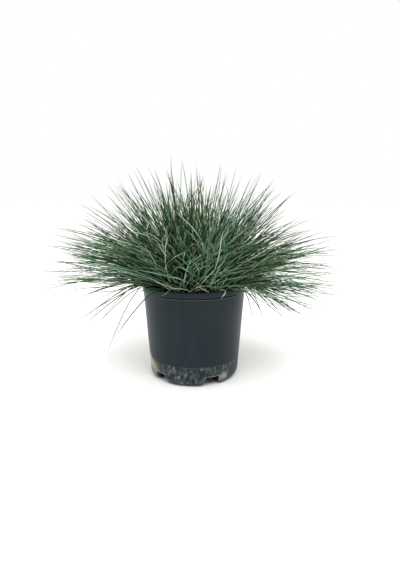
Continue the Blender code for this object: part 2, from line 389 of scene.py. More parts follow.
def shape_pot(pot):
    """The pot as one closed moulding: a full spin of its profile, whose lower rows are then raised into
    the notches. A float layer marks the rubbed edges of the notches, and the groove's bead for a painted
    highlight."""
    wall, skin = wall_and_rim(pot), skin_rows(pot, 0.0)
    inner = list(reversed(skin_rows(pot, pot.wall))) + [(row, row) for row in inner_wall(pot)]
    rows = inner + wall + skin
    mesh = bmesh.new()
    line = [mesh.verts.new((foot[0], 0.0, foot[1])) for foot, notch in rows]
    edges = [mesh.edges.new(pair) for pair in zip(line, line[1:])]
    bmesh.ops.spin(mesh, geom=line + edges, cent=(0, 0, 0), axis=(0, 0, 1), angle=2 * pi,
                   steps=POT_STEPS, use_merge=True)
    bmesh.ops.remove_doubles(mesh, verts=mesh.verts[:], dist=MERGE_DISTANCE)
    worn = mesh.verts.layers.float.new("worn")
    feet = np.array([foot for foot, notch in rows])
    skin_start = len(inner) + len(wall)
    edge_start = skin_start + len(ARCH_SHARES)
    pitch = 2 * pi / pot.notches
    for vert in mesh.verts:
        radius = sqrt(vert.co.x ** 2 + vert.co.y ** 2)
        row = int(np.argmin(np.abs(feet[:, 0] - radius) + np.abs(feet[:, 1] - vert.co.z)))
        foot, notch = rows[row]
        if foot == notch:
            continue
        angle = np.arctan2(vert.co.y, vert.co.x)
        turn = (angle - FIRST_NOTCH + pitch / 2) % pitch - pitch / 2
        spread = pot.wall if row < len(inner) else 0.0
        if len(inner) <= row < skin_start:
            share = groove_share(angle)
        else:
            share = notch_share(pot, 0.5 * (radius + notch[0]) * sin(turn), spread)
        radius = foot[0] + (notch[0] - foot[0]) * share
        vert.co = (radius * cos(angle), radius * sin(angle), foot[1] + (notch[1] - foot[1]) * share)
        if edge_start < row <= edge_start + EDGE_ROWS:
            vert[worn] = min(1.0, EDGE_WEAR * share)
        elif row == len(inner) + BEAD_ROW:
            # The bead's row is lightened: a painted highlight along the groove's lower edge.
            vert[worn] = BEAD_PAINTED_HIGHLIGHT * share
    cut_drains(mesh, pot)
    bmesh.ops.recalc_face_normals(mesh, faces=mesh.faces[:])
    return mesh


def cut_drains(mesh, pot):
    """Opens a slot through both skins of each notch's roof and joins its two edges."""
    for index in range(pot.notches):
        angle = FIRST_NOTCH + 2 * pi * index / pot.notches
        along = Vector((cos(angle), sin(angle), 0.0))
        across = Vector((-sin(angle), cos(angle), 0.0))
        doomed = []
        for face in mesh.faces:
            centre = face.calc_center_median()
            in_roof = abs(centre.z - pot.notch_height) < 2 * pot.wall
            if not in_roof or abs(centre.dot(across)) > DRAIN_HALF_WIDTH:
                continue
            if DRAIN_RADII[0] < centre.dot(along) < DRAIN_RADII[-1]:
                doomed.append(face)
        rims = {edge for face in doomed for edge in face.edges
                if sum(other in doomed for other in edge.link_faces) == 1}
        bmesh.ops.delete(mesh, geom=doomed, context="FACES")
        rims = [edge for edge in rims if edge.is_valid and edge.is_boundary]
        bmesh.ops.bridge_loops(mesh, edges=rims)


def polypropylene(pot):
    """Injection-moulded polypropylene, black with a blue cast: even and satin, with faint upright flow
    marks. Below the dirt line it is limed by standing water, its notches' edges are rubbed pale, and the bead
    under the collar carries a painted highlight."""
    material, tree, surface = new_material("black polypropylene moulded", 0.42, 1.49)
    place = add_node(tree, "TexCoord", output="Object")
    upright = add_node(tree, "Mapping", {"Vector": place, "Scale": (1.0, 1.0, 0.25)})

    # The clean moulding: upright flow marks and larger, duller patches.
    flow = add_node(tree, "TexNoise", {"Vector": upright, "Scale": per_mm(9.0), "Detail": 4.0})
    share = add_node(tree, "Math", {0: flow, 1: 0.7}, operation="MULTIPLY")
    colour = add_node(tree, "Mix", {0: share, 6: pot.plastic, 7: linear("#1b2b31")}, 2, data_type="RGBA")
    patches = add_node(tree, "TexNoise", {"Vector": place, "Scale": per_mm(26.0)})
    share = add_node(tree, "Math", {0: patches, 1: 0.35}, operation="MULTIPLY")
    colour = add_node(tree, "Mix", {0: share, 6: colour, 7: linear("#0b1114")}, 2, data_type="RGBA")

    # The limed band, up to a ragged tide line: fine specks, drawn down into drips, in larger blotches.
    drips = add_node(tree, "Mapping", {"Vector": place, "Scale": (1.0, 1.0, 0.45)})
    height = add_node(tree, "SeparateXYZ", {0: place}, "Z")
    ragged = add_node(tree, "TexNoise", {"Vector": place, "Scale": per_mm(5.0), "Detail": 3.0})
    level = add_node(tree, "Math", {0: ragged, 1: 2.2 * MM, 2: height}, operation="MULTIPLY_ADD")
    below = add_node(tree, "MapRange", {
        "Value": level, "From Min": pot.dirt_line + 1.6 * MM, "From Max": pot.dirt_line + 0.4 * MM})
    specks = add_node(tree, "TexNoise", {
        "Vector": drips, "Scale": per_mm(3.0), "Detail": 6.0, "Roughness": 0.7})
    specks = add_node(tree, "MapRange", {"Value": specks, "From Min": 0.44, "From Max": 0.62})
    blotches = add_node(tree, "TexNoise", {"Vector": place, "Scale": per_mm(9.0), "Detail": 4.0})
    blotches = add_node(tree, "MapRange", {
        "Value": blotches, "From Min": 0.4, "From Max": 0.62, "To Min": 0.1})
    lime = add_node(tree, "Math", {0: specks, 1: blotches}, operation="MULTIPLY")
    lime = add_node(tree, "Math", {0: lime, 1: below}, operation="MULTIPLY")
    share = add_node(tree, "Math", {0: lime, 1: 0.48}, operation="MULTIPLY")
    colour = add_node(tree, "Mix", {0: share, 6: colour, 7: pot.lime}, 2, data_type="RGBA")

    # The notches' edges, rubbed pale in handling, and the groove's bead, lightened as a painted highlight.
    worn = add_node(tree, "Attribute", output="Fac", attribute_name="worn")
    patchiness = add_node(tree, "TexNoise", {
        "Vector": place, "Scale": per_mm(3.0), "Detail": 4.0, "Roughness": 0.65})
    patchiness = add_node(tree, "MapRange", {
        "Value": patchiness, "From Min": 0.36, "From Max": 0.6, "To Min": 0.1, "To Max": 0.75})
    share = add_node(tree, "Math", {0: worn, 1: patchiness}, operation="MULTIPLY")
    colour = add_node(tree, "Mix", {0: share, 6: colour, 7: linear("#b9bbb1")}, 2, data_type="RGBA")

    # Dried splashes, crumbly and fading outwards.
    crumbs = add_node(tree, "TexNoise", {
        "Vector": place, "Scale": per_mm(1.8), "Detail": 4.0, "Roughness": 0.7})
    crumbs = add_node(tree, "MapRange", {
        "Value": crumbs, "From Min": 0.3, "From Max": 0.6, "To Min": 0.25})
    for centre, radius, tint, strength in clay_marks(pot):
        away = add_node(tree, "VectorMath", {0: place, 1: centre}, "Value", operation="DISTANCE")
        share = add_node(tree, "MapRange", {
            "Value": away, "From Min": radius, "From Max": radius * 0.25, "To Max": strength})
        share = add_node(tree, "Math", {0: share, 1: crumbs}, operation="MULTIPLY")
        colour = add_node(tree, "Mix", {0: share, 6: colour, 7: tint}, 2, data_type="RGBA")

    tree.links.new(colour, surface["Base Color"])
    surface["Specular IOR Level"].default_value = 0.2
    rough = add_node(tree, "MapRange", {
        "Value": lime, "From Max": 0.5, "To Min": 0.42, "To Max": 0.8})
    tree.links.new(rough, surface["Roughness"])
    grain = add_node(tree, "TexNoise", {"Vector": place, "Scale": per_mm(0.9), "Detail": 3.0})
    relief = add_node(tree, "Math", {0: grain, 1: 0.25, 2: lime}, operation="MULTIPLY_ADD")
    bump = add_node(tree, "Bump", {"Strength": 0.25, "Distance": 0.15 * MM, "Height": relief})
    tree.links.new(bump, surface["Normal"])
    return material


def clay_marks(pot):
    """Dried splashes and chips near the feet: centre, radius, colour and strength."""
    return (
        ((-49.0 * MM, -27.0 * MM, 17.0 * MM), 13.0 * MM, pot.clay, 0.8),
        ((-55.0 * MM, -15.0 * MM, 22.0 * MM), 13.0 * MM, linear("#dcdccb"), 0.75),
        ((-17.0 * MM, -52.0 * MM, 13.0 * MM), 3.6 * MM, linear("#c2b88f"), 0.85),
        ((-15.4 * MM, -53.4 * MM, 12.0 * MM), 2.8 * MM, linear("#1d150b"), 1.0),
        ((-15.0 * MM, -51.0 * MM, 5.0 * MM), 5.0 * MM, linear("#93865f"), 0.6),
        ((36.0 * MM, -43.0 * MM, 11.0 * MM), 8.0 * MM, linear("#b8bbb0"), 0.55),
        ((22.0 * MM, 51.0 * MM, 13.0 * MM), 11.0 * MM, pot.clay, 0.6),
        ((52.0 * MM, 18.0 * MM, 11.0 * MM), 8.0 * MM, linear("#cfc9b0"), 0.6),
    )


class FESCUE_OT_pot(bpy.types.Operator):
    """Builds the nursery pot: one moulding with a collar, five feet and drainage notches"""

    bl_idname = "fescue.pot"
    bl_label = "Make the pot"

    def execute(self, context):
        pot = settings("pot")
        piece = add_piece("nursery_pot", shape_pot(pot), polypropylene(pot))
        piece.data.shade_smooth()
        piece.data.set_sharp_from_angle(angle=radians(38))
        finish_piece(piece, "pot_plastic", "pot")
        return {"FINISHED"}


# ---------------------------------------------------------------- compost

BALL_BOTTOM = 21.5 * MM
BALL_TAPER = 0.9
BALL_STEPS = 96
BALL_EDGE = COMPOST_HIGH[0] - 0.1 * MM
# The ball's top is a low dome with a flat middle, lumpy by about this much.
DOME_HEIGHT = 4.0 * MM
DOME_FLAT_RADIUS = 30.0 * MM
DOME_STEPS = 16
LUMP = 0.5 * MM


def peat(compost):
    """Moist peat compost: nearly black brown, fibrous and crumbly, with no shine."""
    material, tree, surface = new_material("peat compost loose", 0.95)
    place = add_node(tree, "TexCoord", output="Object")
    crumbs = add_node(tree, "TexNoise", {
        "Vector": place, "Scale": per_mm(2.0), "Detail": 5.0, "Roughness": 0.7})
    colour = add_node(tree, "Mix", {0: crumbs, 6: compost.peat, 7: linear("#5a4a3a")}, 2, data_type="RGBA")
    drawn_out = add_node(tree, "Mapping", {"Vector": place, "Scale": (0.25, 1.0, 1.0)})
    fibres = add_node(tree, "TexNoise", {"Vector": drawn_out, "Scale": per_mm(1.2), "Detail": 3.0})
    fibres = add_node(tree, "MapRange", {
        "Value": fibres, "From Min": 0.62, "From Max": 0.7, "To Max": 0.7})
    colour = add_node(tree, "Mix", {0: fibres, 6: colour, 7: linear("#7d6442")}, 2, data_type="RGBA")
    tree.links.new(colour, surface["Base Color"])
    bump = add_node(tree, "Bump", {"Strength": 0.8, "Distance": MM, "Height": crumbs})
    tree.links.new(bump, surface["Normal"])
    return material


def shape_root_ball(rng):
    """The root ball: a closed turned body with a crumbled top."""
    top = COMPOST_HIGH[2] - DOME_HEIGHT
    foot = BALL_TAPER * BALL_EDGE
    shoulder = BALL_EDGE - 1.2 * MM
    rows = [(0.0, BALL_BOTTOM), (foot - 4.0 * MM, BALL_BOTTOM), (foot - MM, BALL_BOTTOM + 2.5 * MM),
            (BALL_EDGE - 1.6 * MM, top - 16 * MM), (BALL_EDGE - 0.6 * MM, top - 2 * MM),
            (shoulder, top - 0.4 * MM)]
    for step in range(DOME_STEPS):
        radius = shoulder * (1 - (step + 1) / DOME_STEPS)
        rise = min(1.0, (BALL_EDGE - radius) / (BALL_EDGE - DOME_FLAT_RADIUS))
        rows.append((radius, top + DOME_HEIGHT * rise))
    mesh = bmesh.new()
    line = [mesh.verts.new((radius, 0.0, height)) for radius, height in rows]
    edges = [mesh.edges.new(pair) for pair in zip(line, line[1:])]
    bmesh.ops.spin(mesh, geom=line + edges, cent=(0, 0, 0), axis=(0, 0, 1), angle=2 * pi,
                   steps=BALL_STEPS, use_merge=True)
    bmesh.ops.remove_doubles(mesh, verts=mesh.verts[:], dist=MERGE_DISTANCE)
    mesh.verts.index_update()
    lumps = rng.normal(0.0, LUMP, len(mesh.verts))
    for vert, lump in zip(mesh.verts, lumps):
        if vert.co.z > top - MM:
            vert.co.z += min(2.4 * LUMP, lump)
    bmesh.ops.recalc_face_normals(mesh, faces=mesh.faces[:])
    return mesh


def scatter_crumbs(mesh, rng, count):
    """Crumbs of peat and chips of bark, pressed into the top of the compost."""
    edge = COMPOST_HIGH[0] - 3.0 * MM
    lowest, rise = COMPOST_HIGH[2] - 3.5 * MM, 2.5 * MM
    for _ in range(count):
        radius = edge * sqrt(rng.uniform(0.12, 1.0))
        angle = rng.uniform(0, 2 * pi)
        size = rng.uniform(0.6, 1.9) * MM
        height = lowest + rise * (1 - radius / edge)
        place = Matrix.Translation((radius * cos(angle), radius * sin(angle), height + 0.3 * size))
        turn = Matrix.Rotation(rng.uniform(0, 2 * pi), 4, "Z")
        turn = turn @ Matrix.Rotation(rng.uniform(-0.5, 0.5), 4, "X")
        shape = Matrix.Diagonal((size * rng.uniform(0.8, 1.8), size, size * rng.uniform(0.4, 0.9), 1.0))
        bmesh.ops.create_icosphere(mesh, subdivisions=1, radius=1.0, matrix=place @ turn @ shape)


class FESCUE_OT_compost(bpy.types.Operator):
    """Builds the root ball of peat compost, with loose crumbs on its top"""

    bl_idname = "fescue.compost"
    bl_label = "Make the compost"

    def execute(self, context):
        compost = settings("compost")
        rng = np.random.default_rng(11)
        mesh = shape_root_ball(rng)
        scatter_crumbs(mesh, rng, compost.grains)
        piece = add_piece("peat_root_ball", mesh, peat(compost))
        finish_piece(piece, "compost", "compost")
        return {"FINISHED"}


# ---------------------------------------------------------------- leaves

STATIONS = 9
CROWN = (0.0, 0.0, COMPOST_HIGH[2] + 3.5 * MM)
SOIL_HEIGHT = COMPOST_HIGH[2] - 1.5 * MM
TIP_MARGIN = 8.0 * MM
# Where leaves meet the rim, as radii from the axis, and between which radii they are lifted over it.
RIM_INNER = RIM_RADIUS - 3.5 * MM
RIM_OUTER = RIM_RADIUS + COLLAR_PROUD + 1.0 * MM
RIM_CLEARANCE = 1.2 * MM
RIM_SAMPLES = 8
LIFT_START = 20.0 * MM
LIFT_END = 110.0 * MM
# How far out from the rim and above it a hanging leaf turns down.
TURN_OUT = 10.0 * MM
TURN_UP = 14.0 * MM
# A folded leaf's section: two edges and a keel, in half widths.
SECTION = np.array([(-1.0, 0.25), (1.0, 0.25), (0.0, -0.75)])


def heading(azimuth, elevation):
    """Unit vectors in these directions."""
    level = np.cos(elevation)
    return np.stack([level * np.cos(azimuth), level * np.sin(azimuth), np.sin(elevation)], -1)


def curve(share, root, bend, tip):
    """Points along curves that leave each root towards its bend and end at its tip."""
    left = 1 - share
    return left ** 2 * root[:, None] + 2 * share * left * bend[:, None] + share ** 2 * tip[:, None]


def bowed(root, tip, rise, aside, waves, rng):
    """Spines of leaves, as (leaf, station, xyz): each a bow from its root to its tip. The bow stands up
    by rise and out to one side by aside, as shares of the leaf's length, and wavers by waves."""
    share = np.linspace(0, 1, STATIONS)[None, :, None]
    chord = tip - root
    length = np.linalg.norm(chord, axis=1, keepdims=True)
    side = np.stack([-chord[:, 1], chord[:, 0], np.zeros(len(chord))], 1)
    side /= np.linalg.norm(side, axis=1, keepdims=True) + 1e-9
    lift = np.array([0.0, 0.0, 1.0]) * length * rise[:, None]
    points = curve(share, root, root + 0.5 * chord + 2.0 * (lift + side * length * aside[:, None]), tip)
    phase = rng.uniform(0, 2 * pi, (len(chord), 1, 2))
    turns = rng.uniform(1.0, 2.2, (len(chord), 1, 2))
    wander = np.sin(2 * pi * turns * share + phase) - np.sin(phase)
    wander *= share * (length * waves[:, None])[:, None]
    points = points + side[:, None] * wander[..., :1]
    points[..., 2:] += wander[..., 1:]
    return lift_over_rim(points)


def over_the_rim(root, tip):
    """Spines of leaves that bend over the pot's rim and hang down to their tips."""
    share = np.linspace(0, 1, STATIONS)[None, :, None]
    away = tip * (1.0, 1.0, 0.0)
    away /= np.linalg.norm(away, axis=1, keepdims=True)
    bend = away * (RIM_RADIUS + TURN_OUT) + (0.0, 0.0, POT_HEIGHT + TURN_UP)
    return lift_over_rim(curve(share, root, bend, tip))


def lift_over_rim(points):
    """Raises each leaf that would cut the pot's rim until it clears it."""
    radius = np.hypot(points[..., 0], points[..., 1])
    fine = np.linspace(0, 1, RIM_SAMPLES)[None, None, :]
    first, last = radius[:, :-1, None], radius[:, 1:, None]
    over = first + (last - first) * fine
    height = points[:, :-1, 2, None] + (points[:, 1:, 2, None] - points[:, :-1, 2, None]) * fine
    short = np.where((over > RIM_INNER) & (over < RIM_OUTER), POT_HEIGHT + RIM_CLEARANCE - height, 0.0)
    need = np.maximum(short.max((1, 2)), 0.0)
    rise = np.clip((radius - LIFT_START) / (RIM_INNER - LIFT_START), 0.0, 1.0)
    fall = np.clip((LIFT_END - radius) / (LIFT_END - RIM_OUTER), 0.0, 1.0)
    points[..., 2] += need[:, None] * rise * fall * fall * (3 - 2 * fall)
    return points


def leaf_mesh(name, points, azimuth, half_width, roll, layers):
    """One mesh of many closed, folded, pointed leaves. Layers are named numbers, one for each leaf."""
    count, stations = points.shape[:2]
    along = np.gradient(points, axis=1)
    along /= np.linalg.norm(along, axis=2, keepdims=True)
    level = np.stack([-np.sin(azimuth), np.cos(azimuth), np.zeros(count)], 1)[:, None]
    level = level - along * (level * along).sum(2, keepdims=True)
    level /= np.linalg.norm(level, axis=2, keepdims=True)
    over = np.cross(along, level)
    turn = roll[:, None, None]
    across = level * np.cos(turn) + over * np.sin(turn)
    upward = over * np.cos(turn) - level * np.sin(turn)
    share = np.linspace(0, 1, stations)
    # Three quarters wide at the root, full by a fifth of the way, and drawn in to a point near the end.
    taper = (0.75 + 0.25 * np.clip(share / 0.2, 0, 1)) * (1 - share ** 8) ** 0.8
    size = half_width[:, None, None] * taper[None, :, None]
    corners = [points + (across * u + upward * v) * size for u, v in SECTION]
    rings = np.stack(corners, 2)[:, :-1].reshape(count, -1, 3)
    verts = np.concatenate([rings, points[:, -1:]], 1)
    per_leaf = verts.shape[1]
    # One leaf's faces: a cap at the root, three sides from ring to ring, and three that meet at the tip.
    faces = [(0, 2, 1)]
    for ring in range(stations - 2):
        for side in range(3):
            a, b = 3 * ring + side, 3 * ring + (side + 1) % 3
            faces.append((a, b, b + 3, a + 3))
    last = 3 * (stations - 2)
    faces += [(last + side, last + (side + 1) % 3, per_leaf - 1) for side in range(3)]
    sizes = np.array([len(face) for face in faces])
    flat = np.concatenate([np.array(face) for face in faces])
    loops = (flat[None] + per_leaf * np.arange(count)[:, None]).ravel()
    all_sizes = np.tile(sizes, count)
    mesh = bpy.data.meshes.new(name)
    mesh.vertices.add(count * per_leaf)
    mesh.vertices.foreach_set("co", verts.astype(np.float32).ravel())
    mesh.loops.add(len(loops))
    mesh.loops.foreach_set("vertex_index", loops.astype(np.int32))
    mesh.polygons.add(len(all_sizes))
    mesh.polygons.foreach_set("loop_start", (np.cumsum(all_sizes) - all_sizes).astype(np.int32))
    mesh.update(calc_edges=True)
    run = np.append(np.repeat(share[:-1], 3), 1.0)
    add_layer(mesh, "run", np.tile(run, count))
    for key, values in layers.items():
        add_layer(mesh, key, np.repeat(values, per_leaf))
    mesh.shade_smooth()
    mesh.set_sharp_from_angle(angle=radians(50))
    return mesh


def add_layer(mesh, name, values):
    """Stores a number on each vertex, for a material to read."""
    layer = mesh.attributes.new(name, "FLOAT", "POINT")
    layer.data.foreach_set("value", values.astype(np.float32))


def fescue_leaf(grass):
    """Living fescue leaf: a folded needle with a pale waxy bloom over green. Satin, with painted shade that
    darkens it towards the root and makes its darkest tone near black, and grey-brown where the tip has died
    back."""
    material, tree, surface = new_material("fescue leaf waxy", 0.5, 1.42)
    place = add_node(tree, "TexCoord", output="Object")
    run = add_node(tree, "Attribute", output="Fac", attribute_name="run")
    tone = add_node(tree, "Attribute", output="Fac", attribute_name="tone")
    dryness = add_node(tree, "Attribute", output="Fac", attribute_name="dryness")
    # Leaf tone differs at random from leaf to leaf; its near-black end is painted shade for shadowed leaves.
    colour = add_node(tree, "ValToRGB", {"Fac": tone}, stops=(
        (0.0, grass.painted_shade_green), (0.45, grass.green), (0.74, linear("#64906a")), (1.0, grass.bloom)))
    blotch = add_node(tree, "TexNoise", {"Vector": place, "Scale": per_mm(14.0), "Detail": 3.0})
    blotch = add_node(tree, "ValToRGB", {"Fac": blotch}, stops=((0.3, grey(0.72)), (0.7, grey(1.0))))
    colour = add_node(tree, "Mix", {0: 1.0, 6: colour, 7: blotch}, 2, data_type="RGBA", blend_type="MULTIPLY")

    # Painted shade: from the middle down to the root each leaf is darkened to near black, and the darker the
    # leaf, the further this reaches.
    root_shade = add_node(tree, "MapRange", {
        "Value": run, "From Min": 0.6, "From Max": 0.2, "To Max": 0.95})
    shade_strength = add_node(tree, "Math", {0: 1.25, 1: tone}, operation="SUBTRACT", use_clamp=True)
    share = add_node(tree, "Math", {0: root_shade, 1: shade_strength}, operation="MULTIPLY")
    colour = add_node(tree, "Mix", {0: share, 6: colour, 7: linear("#050704")}, 2, data_type="RGBA")

    tip = add_node(tree, "MapRange", {"Value": run, "From Min": 0.8, "From Max": 0.98, "To Max": 0.75})
    colour = add_node(tree, "Mix", {0: tip, 6: colour, 7: linear("#5d5a50")}, 2, data_type="RGBA")
    colour = add_node(tree, "Mix", {0: dryness, 6: colour, 7: linear("#7f8847")}, 2, data_type="RGBA")
    tree.links.new(colour, surface["Base Color"])
    surface["Specular IOR Level"].default_value = 0.12
    return material


def dry_leaf(grass):
    """Dead fescue leaf: papery straw, bleached in places and grey where it has begun to rot."""
    material, tree, surface = new_material("fescue straw papery", 0.8, 1.4)
    place = add_node(tree, "TexCoord", output="Object")
    tone = add_node(tree, "Attribute", output="Fac", attribute_name="tone")
    colour = add_node(tree, "ValToRGB", {"Fac": tone}, stops=(
        (0.0, linear("#3f3a2a")), (0.45, grass.straw), (0.8, linear("#b9b594")), (1.0, linear("#b4bcae"))))
    stain = add_node(tree, "TexNoise", {"Vector": place, "Scale": per_mm(7.0), "Detail": 4.0})
    stain = add_node(tree, "ValToRGB", {"Fac": stain}, stops=((0.35, grey(0.5)), (0.65, grey(1.0))))
    colour = add_node(tree, "Mix", {0: 1.0, 6: colour, 7: stain}, 2, data_type="RGBA", blend_type="MULTIPLY")
    tree.links.new(colour, surface["Base Color"])
    return material


def facing_front(azimuth):
    """1 towards the front of the pot, 0 at its sides and back."""
    return np.clip(-np.sin(azimuth) * 1.25 - 0.2, 0.0, 1.0)


def reach_at(elevation):
    """How far the longest leaves reach from the crown in a direction above level."""
    directions = np.radians([-35.0, -15.0, 0.0, 15.0, 28.0, 42.0, 60.0, 76.0, 90.0])
    reach = np.array([136.0, 184.0, 212.0, 202.0, 184.0, 178.0, 180.0, 154.0, 130.0]) * MM
    return np.interp(elevation, directions, reach)


# Each ring of tufts: the directions of its leaves above level, how much higher they start at the front
# and lower at the right, how far they bow upwards as a share of their length, how far from the axis they
# root, and their lengths as a share of the longest: the least, and the two numbers of a beta spread
# above it.
RINGS = {
    "low": {"elevation": (-6.0, 26.0), "front": 34.0, "droop": 13.0, "rise": (0.02, 0.12),
            "root": (18.0, 44.0), "share": (0.36, 1.7, 1.4)},
    "mid": {"elevation": (14.0, 54.0), "front": 0.0, "droop": 0.0, "rise": (0.00, 0.09),
            "root": (6.0, 36.0), "share": (0.36, 2.0, 1.9)},
    "top": {"elevation": (44.0, 88.0), "front": 0.0, "droop": 0.0, "rise": (-0.01, 0.05),
            "root": (0.0, 24.0), "share": (0.34, 2.1, 2.5)},
}
STRAY_SHARE = 0.2
STRAY_TURN = 0.9
DRY_SHARE = 0.05

# The tips of the longest leaves, as millimetres to the right, to the back and up: those that stand out
# of the clump, then those that hang over the rim.
LONG_TIPS = (
    (-26, -20, 279), (-84, 10, 260), (-70, -30, 259), (-51, 20, 264), (-103, -24, 230), (-86, 35, 240),
    (-141, 12, 204), (-133, -30, 205), (-155, 30, 185), (-172, -12, 162), (-173, 26, 155), (-176, 4, 147),
    (-180, -14, 124), (-178, 22, 112), (-168, -46, 134), (-160, 52, 150), (4, 16, 268), (32, -22, 267),
    (42, 30, 260), (52, -12, 265), (74, 24, 255), (97, -18, 249), (106, 30, 241), (119, -8, 230),
    (142, 34, 180), (140, -26, 187), (178, 14, 164), (175, -20, 150), (188, 6, 132), (190, 28, 112),
    (182, -34, 122), (60, 60, 246), (-40, 70, 250), (10, 96, 236), (96, 86, 212), (-104, 90, 208),
    (150, 84, 166), (-148, 92, 160), (64, 140, 176), (-58, 146, 182), (6, 164, 150), (120, 122, 140),
    (-118, 128, 136), (-30, 60, 262), (84, -70, 218), (-72, -78, 214), (20, -66, 242), (-14, -84, 228),
)
HANGING_TIPS = (
    (-148, -16, 59), (-147, 12, 68), (-107, -34, 38), (-149, 20, 97), (-132, -24, 94), (-118, -52, 74),
    (-163, 8, 92), (-128, 40, 80), (-140, -6, 108), (-126, 14, 64), (168, 12, 76), (116, -18, 73),
    (90, -30, 60), (71, -42, 70), (176, -20, 92), (152, 30, 84), (128, -44, 88), (140, 4, 66),
    (104, -52, 84), (80, -58, 92), (186, 10, 100), (96, 84, 78), (40, 128, 70), (-24, 132, 76),
    (-84, 104, 66), (-112, 84, 84), (20, 146, 92), (132, 66, 88),
)


def tuft_azimuth(node):
    """The direction in which a tuft leans, from the middle of its box."""
    low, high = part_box(node)
    return np.arctan2(low[1] + high[1], low[0] + high[0])


def grow_tuft(node, plan, spread, count, rng, grass):
    """The leaves of one tuft, fanned out about the direction of its node, with some strays."""
    azimuth = tuft_azimuth(node) + spread * rng.uniform(-1.25, 1.25, count)
    azimuth += np.where(rng.uniform(0, 1, count) < STRAY_SHARE, rng.normal(0, STRAY_TURN, count), 0.0)
    low, high = plan["elevation"]
    low = low + plan["front"] * facing_front(azimuth) - plan["droop"] * np.clip(np.cos(azimuth), 0.0, 1.0)
    elevation = np.radians(low + (high - low) * rng.uniform(0, 1, count) ** 0.85)
    least, *beta = plan["share"]
    share = least + (1 - least) * rng.beta(*beta, count)
    tip = np.array(CROWN) + heading(azimuth, elevation) * (reach_at(elevation) * share)[:, None]
    tip = np.clip(tip, np.array(CAD_LOW) - TIP_MARGIN, np.array(CAD_HIGH) + TIP_MARGIN)
    root_radius = rng.uniform(*plan["root"], count) * MM
    root_angle = azimuth + rng.normal(0, 0.8, count)
    root = heading(root_angle, np.zeros(count)) * root_radius[:, None]
    root[:, 2] = SOIL_HEIGHT
    rise = rng.uniform(*plan["rise"], count)
    points = bowed(root, tip, rise, rng.normal(0, 0.06, count), rng.uniform(0.0, 0.012, count), rng)
    dryness = np.where(rng.uniform(0, 1, count) < DRY_SHARE, rng.uniform(0.3, 0.9, count), 0.0)
    half = 0.5 * grass.leaf_width * rng.uniform(0.75, 1.15, count)
    layers = {"tone": rng.beta(0.7, 0.8, count), "dryness": dryness}
    return leaf_mesh(node, points, azimuth, half, rng.uniform(-0.8, 0.8, count), layers)


class FESCUE_OT_tufts(bpy.types.Operator):
    """Grows the tufts: a sheaf of living leaves in place of each plain tuft"""

    bl_idname = "fescue.tufts"
    bl_label = "Grow the tufts"

    def execute(self, context):
        grass = settings("grass")
        material = fescue_leaf(grass)
        rng = np.random.default_rng(2024)
        for ring, plan in RINGS.items():
            nodes = nodes_named(f"tuft_{ring}_")
            count = getattr(grass, f"{ring}_leaves")
            for node in nodes:
                mesh = grow_tuft(node, plan, pi / len(nodes), count, rng, grass)
                finish_piece(add_piece(f"{node}_leaves", mesh, material), "foliage", node)
        return {"FINISHED"}


def spine_of(node):
    """The middle line of a single leaf's node, root first, read from the rings of its mesh."""
    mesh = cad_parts[node].data
    corners = np.unique(np.round([vert.co[:] for vert in mesh.vertices], 6), axis=0)
    root = corners[np.argmin(np.hypot(corners[:, 0], corners[:, 1]) + 0.2 * corners[:, 2])]
    tip = corners[np.argmax(np.linalg.norm(corners - root, axis=1))]
    order = np.argsort((corners - root) @ (tip - root))
    rings = np.array_split(corners[order], len(corners) // 4)
    return np.array([ring.mean(0) for ring in rings])


class FESCUE_OT_single_leaves(bpy.types.Operator):
    """Grows the long single leaves along the lines of their nodes"""

    bl_idname = "fescue.single_leaves"
    bl_label = "Grow the single leaves"

    def execute(self, context):
        grass = settings("grass")
        material = bpy.data.materials["fescue leaf waxy"]
        rng = np.random.default_rng(7)
        for node in nodes_named("leaf_"):
            points = spine_of(node)[None]
            if points[0, -1, 2] < CROWN[2]:
                points = over_the_rim(points[:, 0], points[:, -1])
            azimuth = np.array([np.arctan2(points[0, -1, 1], points[0, -1, 0])])
            tone = rng.uniform(0.3, 0.7, 1)
            layers = {"tone": tone, "dryness": rng.uniform(0, 0.15, 1)}
            half = np.array([0.6 * grass.leaf_width])
            mesh = leaf_mesh(node, points, azimuth, half, rng.uniform(-0.5, 0.5, 1), layers)
            finish_piece(add_piece(f"{node}_blade", mesh, material), "leaf", node)
        return {"FINISHED"}


class FESCUE_OT_long_leaves(bpy.types.Operator):
    """Grows the longest leaves: those that stand out of the clump, and those that hang over the rim"""

    bl_idname = "fescue.long_leaves"
    bl_label = "Grow the long leaves"

    def execute(self, context):
        grass = settings("grass")
        rng = np.random.default_rng(19)
        standing, hanging = np.array(LONG_TIPS) * MM, np.array(HANGING_TIPS) * MM
        tips = np.concatenate([standing, hanging])
        count = len(tips)
        azimuth = np.arctan2(tips[:, 1], tips[:, 0])
        away = np.hypot(tips[:, 0], tips[:, 1])
        root_radius = np.clip(0.22 * away, 2 * MM, 40 * MM)
        root = heading(azimuth + rng.normal(0, 0.5, count), np.zeros(count)) * root_radius[:, None]
        root[:, 2] = SOIL_HEIGHT
        first = len(standing)
        rise = rng.uniform(0.0, 0.05, first)
        aside = rng.normal(0, 0.03, first)
        upright = bowed(root[:first], standing, rise, aside, rng.uniform(0, 0.006, first), rng)
        points = np.concatenate([upright, over_the_rim(root[first:], hanging)])
        half = 0.5 * grass.leaf_width * rng.uniform(1.05, 1.4, count)
        layers = {"tone": rng.uniform(0.1, 0.6, count), "dryness": rng.uniform(0, 0.15, count)}
        mesh = leaf_mesh("long_leaves", points, azimuth, half, rng.uniform(-0.8, 0.8, count), layers)
        finish_piece(add_piece("long_leaves", mesh, bpy.data.materials["fescue leaf waxy"]), "leaf")
        return {"FINISHED"}


